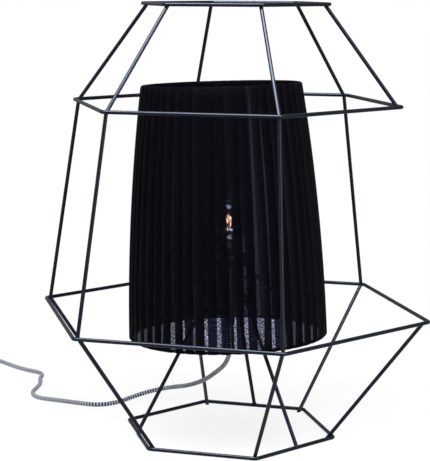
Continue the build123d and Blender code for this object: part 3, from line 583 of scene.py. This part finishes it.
def pleated_cloth():
    """The shade's cloth: each pleat's section at each point of the meridian, no two pleats quite alike."""
    rng = random.Random(7)
    jitter = [rng.uniform(-0.0035, 0.0035) for _ in range(PLEATS)]
    sway = [(rng.uniform(-0.0022, 0.0022), rng.uniform(0, math.tau)) for _ in range(PLEATS)]
    tuck = [(rng.uniform(-0.0009, 0.0004), rng.uniform(-0.0012, 0.0022)) for _ in range(PLEATS)]
    # Each pleat's strength of painted sheen
    sheen_strength = [rng.uniform(0.25, 1.0) for _ in range(PLEATS)]
    thin = [rng.uniform(0.08, 0.5) for _ in range(PLEATS)]
    for k, clearness in CLEAR.items():
        thin[k] = clearness
    for k, degrees in NUDGED.items():
        jitter[k] += math.radians(degrees)

    def fold_angle(k, share):
        """The angle of a fold at a share of the shade's height."""
        swing, phase = sway[k % PLEATS]
        bend = swing * math.sin(share * SWAY_WAVE + phase)
        return FOLD_START + math.tau * k / PLEATS + jitter[k % PLEATS] + bend

    line = meridian()
    points, painted_sheen, clear = [], [], []
    for radius, height, out, up in line:
        share = min(1.0, max(0.0, height / SHADE_HEIGHT))
        around = radius + CLOTH_OUT
        on_wall = out == 1.0
        loft = WALL_LOFT - WALL_LOFT_LOST * share if on_wall else WRAP_LOFT - WRAP_LOFT_LOST * share
        stand_off = (STAND_OFF - STAND_OFF_LOST * share) * out
        aside = ASIDE * (1.0 - ASIDE_SHARE_LOST * share)
        hem = max(0.0, 1.0 - share / HEM_SHARE) ** 2
        for k in range(PLEATS):
            here = fold_angle(k, share)
            face = (fold_angle(k + 1, share) - here) * around
            deeper, deeper_at_hem = tuck[(k + 1) % PLEATS]
            under = (PLEAT_CLOTH - face) / 2 + deeper + deeper_at_hem * hem
            # Each point gets its share of painted sheen, and its pleat's clearness
            for at, lift, light in pleat_section(face, under):
                rise = lift * loft * MM
                reach = radius + stand_off + out * rise
                points.append(shade_place(reach, here + at / around, height + up * rise) + aside)
                painted_sheen.append(light * sheen_strength[k])
                clear.append(thin[k])

    rows = len(line)
    columns = len(points) // rows
    middle = points[rows // 2 * columns:][:columns]
    lengths = [0.0]
    for a, b in zip(middle, middle[1:] + middle[:1]):
        lengths.append(lengths[-1] + (b - a).length)
    runs = [0.0]
    for a, b in zip(line, line[1:]):
        runs.append(runs[-1] + math.hypot(b[0] - a[0], b[1] - a[1]))
    faces, places = closed_grid(rows, columns, lambda r, c: (lengths[c], runs[r]))
    made = piece("pleated_organza", points, faces, organza("black_organza"), "shade",
                 "cloth", places)
    for label, values in (("painted_sheen", painted_sheen), ("clear", clear)):
        layer = made.data.attributes.new(label, "FLOAT", "POINT")
        layer.data.foreach_set("value", values)
    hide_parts("shade_fabric")


pleated_cloth()

# Lit filament: a fine coil hung in a zigzag between its two leads

FILAMENT_COIL = 0.00028
FILAMENT_PITCH = 0.00042
FILAMENT_WIRE = 0.00009
FILAMENT_STEP = 0.00019
FILAMENT_SIDES = 5
POINTS_A_TURN = 9
GLOW = 13.0
# Millimetres right, back and up from the lampholder's seat
HANGS = [
    (-1.0, 0.0, 76.2), (-2.6, 0.1, 77.0), (-2.5, 0.5, 83.0), (-2.4, 0.8, 88.4), (-1.6, 1.0, 85.0),
    (-0.7, 1.2, 79.4), (-0.3, 1.4, 84.0), (-0.3, 1.6, 90.2), (0.6, 1.2, 86.0), (1.3, 0.9, 82.0),
    (1.8, 0.6, 85.5), (2.4, 0.4, 88.5), (3.3, 0.2, 84.0), (2.6, 0.0, 78.0), (1.0, 0.0, 76.2),
]


def seat_place(right, back, up):
    return SEAT + (SEAT_RIGHT * right + SEAT_BACK * back + SEAT_UP * up) * MM


def coiled(line, radius, pitch, per_turn):
    """The points of a coil wound along a line."""
    centres, _ = spaced(line, pitch / per_turn)
    side = (centres[1] - centres[0]).orthogonal().normalized()
    wound = []
    for k, centre in enumerate(centres[:-1]):
        ahead = (centres[k + 1] - centre).normalized()
        side = (side - ahead * side.dot(ahead)).normalized()
        turn = math.tau * k / per_turn
        wound.append(centre + (side * math.cos(turn) + ahead.cross(side) * math.sin(turn)) * radius)
    return wound


hung = curve_line("filament_line", [seat_place(*spot) for spot in HANGS])
wire_coil = tube("filament_coil", coiled(hung, FILAMENT_COIL, FILAMENT_PITCH, POINTS_A_TURN), FILAMENT_WIRE,
                 FILAMENT_SIDES, FILAMENT_STEP, glowing_wire("lit_tungsten", GLOW))
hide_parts("bulb_filament")

# Weld beads, where struts lie in the rings' corners, where legs end and where each ring's wire meets itself

WIDEST_HEIGHT = 0.1345
BASE_HEIGHT = 0.0020
BASE_RADIUS = 0.1165
CAGE_LEAN = math.radians(0.46)
LEAN_HEADING = math.radians(16.3)
# Each ring's corner radius, height, turn in degrees, and the side on which its wire meets itself
RINGS = [
    (0.1018, 0.4620, 1.8, 1), (0.1803, 0.3577, 0.6, 2), (0.2155, WIDEST_HEIGHT, 0.0, 1),
    (BASE_RADIUS, BASE_HEIGHT, 0.0, 3),
]
RING_SIDES = 6
SIDE_ANGLE = 60.0
TO_SIDE_MIDDLE = math.cos(math.radians(SIDE_ANGLE / 2))
LEG_TURNS = (210.0, 90.0, 330.0)
LEG_FOOT_HEIGHT = 0.0042
LEG_HEAD_HEIGHT = 0.1452
LEG_HEAD_RADIUS = 0.0263
CORNER_IN = 0.0030
FOOT_OUT = 0.0007
# Keeps the base ring's bead off the floor
JOINT_LIFT = 0.0004
# Half sizes of a bead: out, along and up
CORNER_BEAD = (0.0012, 0.0019, 0.0017)
JOINT_BEAD = (0.00235, 0.0016, 0.00235)
FOOT_BEAD = (0.0027, 0.0027, 0.0010)
HEAD_BEAD = (0.0027, 0.0027, 0.0011)
UNEVENNESS = 0.0007
RIPPLES = 900.0


def ring_centre(height):
    shift = (height - WIDEST_HEIGHT) * math.tan(CAGE_LEAN)
    return Vector((shift * math.cos(LEAN_HEADING), shift * math.sin(LEAN_HEADING), height))


def out_from(centre, radius, degrees):
    turn = math.radians(degrees)
    return centre + Vector((math.cos(turn), math.sin(turn), 0.0)) * radius


def on_plate(spot):
    """The spot moved up or down by the slope of the plate under the lampholder."""
    slope = (SEAT_UP.x * (spot.x - SEAT.x) + SEAT_UP.y * (spot.y - SEAT.y)) / SEAT_UP.z
    return spot - Vector((0.0, 0.0, slope))


def weld_spots():
    """Each bead's place, heading in degrees and half sizes."""
    spots = []
    for radius, height, turn, joint in RINGS:
        centre = ring_centre(height)
        for k in range(RING_SIDES):
            heading = SIDE_ANGLE * k + turn
            spots.append((out_from(centre, radius - CORNER_IN, heading), heading, CORNER_BEAD))
        heading = SIDE_ANGLE * (joint + 0.5) + turn
        lift = JOINT_LIFT if height == BASE_HEIGHT else 0.0
        spot = out_from(centre, radius * TO_SIDE_MIDDLE, heading) + Vector((0.0, 0.0, lift))
        spots.append((spot, heading, JOINT_BEAD))
    foot_radius = BASE_RADIUS * TO_SIDE_MIDDLE + FOOT_OUT
    for heading in LEG_TURNS:
        spots.append((out_from(ring_centre(LEG_FOOT_HEIGHT), foot_radius, heading), heading, FOOT_BEAD))
        head = out_from(Vector((SEAT.x, SEAT.y, LEG_HEAD_HEIGHT)), LEG_HEAD_RADIUS, heading)
        spots.append((on_plate(head), heading, HEAD_BEAD))
    return spots


def bead_tree(finish):
    """Geometry Nodes: a bead on every point, turned and sized by the point, its skin a little uneven."""
    tree = bpy.data.node_groups.new("weld_beads", "GeometryNodeTree")
    tree.interface.new_socket("Spots", in_out="INPUT", socket_type="NodeSocketGeometry")
    uneven = tree.interface.new_socket("Unevenness", in_out="INPUT", socket_type="NodeSocketFloat")
    ripple = tree.interface.new_socket("Ripples", in_out="INPUT", socket_type="NodeSocketFloat")
    tree.interface.new_socket("Beads", in_out="OUTPUT", socket_type="NodeSocketGeometry")

    def add(kind, settings=None, inputs=None):
        made = tree.nodes.new(kind)
        for key, value in (settings or {}).items():
            setattr(made, key, value)
        for key, value in (inputs or {}).items():
            if isinstance(value, bpy.types.NodeSocket):
                tree.links.new(value, made.inputs[key])
            else:
                made.inputs[key].default_value = value
        return made

    given = add("NodeGroupInput")
    ball = add("GeometryNodeMeshIcoSphere", inputs={"Radius": 1.0, "Subdivisions": 3})
    heading = add("GeometryNodeInputNamedAttribute", {"data_type": "FLOAT_VECTOR"}, {"Name": "heading"})
    size = add("GeometryNodeInputNamedAttribute", {"data_type": "FLOAT_VECTOR"}, {"Name": "half_size"})
    turned = add("FunctionNodeEulerToRotation", inputs={0: heading.outputs[0]})
    beads = add("GeometryNodeInstanceOnPoints", inputs={
        "Points": given.outputs["Spots"], "Instance": ball.outputs["Mesh"],
        "Rotation": turned.outputs[0], "Scale": size.outputs[0]})
    real = add("GeometryNodeRealizeInstances", inputs={"Geometry": beads.outputs["Instances"]})
    noise = add("ShaderNodeTexNoise", inputs={"Scale": given.outputs["Ripples"], "Detail": 1.0})
    centred = add("ShaderNodeMath", {"operation": "SUBTRACT"}, {0: noise.outputs[0], 1: 0.5})
    height = add("ShaderNodeMath", {"operation": "MULTIPLY"}, {
        0: centred.outputs[0], 1: given.outputs["Unevenness"]})
    outward = add("GeometryNodeInputNormal")
    push = add("ShaderNodeVectorMath", {"operation": "SCALE"}, {
        0: outward.outputs[0], "Scale": height.outputs[0]})
    moved = add("GeometryNodeSetPosition", inputs={"Geometry": real.outputs[0], "Offset": push.outputs[0]})
    smooth = add("GeometryNodeSetShadeSmooth", inputs={0: moved.outputs[0]})
    painted = add("GeometryNodeSetMaterial", inputs={"Geometry": smooth.outputs[0], "Material": finish})
    add("NodeGroupOutput", inputs={0: painted.outputs[0]})
    return tree, {uneven.identifier: UNEVENNESS, ripple.identifier: RIPPLES}


def weld_beads():
    """All the beads as one plain mesh, in satin black paint like the cage."""
    spots = weld_spots()
    finish = satin_black("weld_satin_black")
    mesh = bpy.data.meshes.new("weld_spots")
    mesh.from_pydata([tuple(place) for place, _, _ in spots], [], [])
    mesh.materials.append(finish)
    turns = mesh.attributes.new("heading", "FLOAT_VECTOR", "POINT")
    turns.data.foreach_set("vector", [v for _, h, _ in spots for v in (0.0, 0.0, math.radians(h))])
    sizes = mesh.attributes.new("half_size", "FLOAT_VECTOR", "POINT")
    sizes.data.foreach_set("vector", [v for _, _, size in spots for v in size])
    holder = bpy.data.objects.new("weld_spots", mesh)
    bpy.context.scene.collection.objects.link(holder)
    modifier = holder.modifiers.new("beads", "NODES")
    modifier.node_group, values = bead_tree(finish)
    for identifier, value in values.items():
        modifier[identifier] = value
    ready = holder.evaluated_get(bpy.context.evaluated_depsgraph_get())
    baked = bpy.data.meshes.new_from_object(ready)
    bpy.data.objects.remove(holder)
    placed("weld_beads", baked, "lamp")


weld_beads()

# Finishes of the CAD nodes; the slots that aren't here belong to replaced nodes

FINISHES = {
    "cage_wire": satin_black("cage_satin_black"),
    "hub_plate": satin_black("plate_satin_black"),
    "zinc": plated("zinc_plate", (0.55, 0.56, 0.57), (0.38, 0.39, 0.41), 0.3),
    "holder_plastic": moulded_black("holder_black", 0.42),
    "insulator": ceramic("holder_ceramic"),
    "brass": plated("brass_sheet", (0.78, 0.58, 0.26), (0.55, 0.38, 0.16), 0.25),
    "bulb_glass": clear_glass("bulb_clear_glass"),
    "bulb_cap": plated("cap_aluminium", (0.72, 0.72, 0.71), (0.50, 0.50, 0.50), 0.28),
    "bulb_contact": moulded_black("contact_glassy_black", 0.15),
    "stem_glass": clear_glass("stem_clear_glass", 0.02),
    "shade_frame": satin_black("frame_satin_black"),
    "switch_plastic": moulded_black("switch_black", 0.48, 900.0),
    "plug_rubber": moulded_black("plug_black", 0.55),
    "pins": plated("pin_nickel", (0.75, 0.73, 0.68), (0.60, 0.58, 0.54), 0.18),
    "cord_textile": braid("stem_cord_braid"),
}
for part in frame["record"]["subparts"]:
    for slot in nodes[part["node"]].material_slots:
        slot.material = FINISHES.get(part["material_slot"], slot.material)


# Floor and light

FLOOR_SIZE = 14.0
FLOOR_HEIGHT = -0.0002
ROOM_LIGHT = 0.34
AIM = Vector((0.0, 0.0, 0.2))
COOL_TINT = (0.93, 0.95, 1.0)
PALE_TINT = (0.95, 0.97, 1.0)


def floor_paper():
    """White paper that shows a faint shadow near the lamp and none farther out, and mirrors dimly."""
    f = Finish("floor_paper")
    grain = f.noise(f.place(), 40.0, 2.0)
    paper = f.node("ShaderNodeBsdfDiffuse", inputs={
        "Color": f.blend(grain, (0.86, 0.86, 0.865), (0.88, 0.88, 0.885))})
    camera_ray, glossy_ray, glass_ray = f.rays()
    seen = camera_ray.high(glossy_ray).high(glass_ray)
    strength = 1.0 - 0.8 * glossy_ray * (1.0 - camera_ray)
    white = f.node("ShaderNodeEmission", inputs={"Color": WHITE, "Strength": strength})
    east, north, _ = f.split(f.place())
    reach = (east * east + north * north) ** 0.5
    shadow_fades = reach.ramp(0.3, 0.9, 0.84, 1.0)
    f.shown(f.node("ShaderNodeMixShader", inputs={0: seen * shadow_fades, 1: paper, 2: white}))
    return f.material


def studio_sky(tree):
    """White to the camera, and darker in what mirrors it, most of all towards the front and overhead."""
    f = Sky(tree)
    camera_ray, glossy_ray, glass_ray = f.rays()
    _, away, above = f.split(f.node("ShaderNodeTexCoord", output="Generated"))
    mirrored = 0.10 + 0.22 * away.ramp(-0.2, 0.5) * (1.0 - 0.5 * above.ramp(0.2, 0.7))
    in_a_mirror = glossy_ray.high(glass_ray) * (1.0 - camera_ray)
    strength = ROOM_LIGHT + (1.0 - ROOM_LIGHT) * camera_ray + (mirrored - ROOM_LIGHT) * in_a_mirror
    dome = f.node("ShaderNodeBackground", inputs={"Color": WHITE, "Strength": strength})
    f.node("ShaderNodeOutputWorld", inputs={"Surface": dome})


def soft_box(name, place, size, power, tint, gleam_only=False):
    """A rectangular light aimed at the lamp; with gleam_only it shows in gloss but doesn't light the matt."""
    data = bpy.data.lights.new(name, "AREA")
    data.shape = "RECTANGLE"
    data.size, data.size_y = size
    data.energy = power
    data.color = tint
    lamp = bpy.data.objects.new(name, data)
    lamp.location = place
    lamp.rotation_euler = (AIM - Vector(place)).to_track_quat("-Z", "Y").to_euler()
    lamp.visible_diffuse = not gleam_only
    bpy.context.scene.collection.objects.link(lamp)


bpy.ops.mesh.primitive_grid_add(x_subdivisions=8, y_subdivisions=8, size=FLOOR_SIZE,
                                location=(0, 0, FLOOR_HEIGHT))
floor = bpy.context.object
floor.name = "floor"
floor.data.materials.append(floor_paper())

world = bpy.data.worlds.new("studio")
bpy.context.scene.world = world
world.use_nodes = True
world.node_tree.nodes.clear()
studio_sky(world.node_tree)

soft_box("overhead_box", (0.0, -0.6, 1.7), (1.9, 1.0), 50, COOL_TINT)
soft_box("left_box", (-1.7, -1.4, 0.9), (0.5, 1.6), 7, PALE_TINT)
soft_box("right_box", (1.7, -1.0, 0.8), (0.4, 1.5), 16, PALE_TINT)
soft_box("gleam_strip", (0.0, -0.6, 1.69), (1.6, 0.8), 40, COOL_TINT, gleam_only=True)

bpy.context.scene.view_settings.view_transform = "Standard"
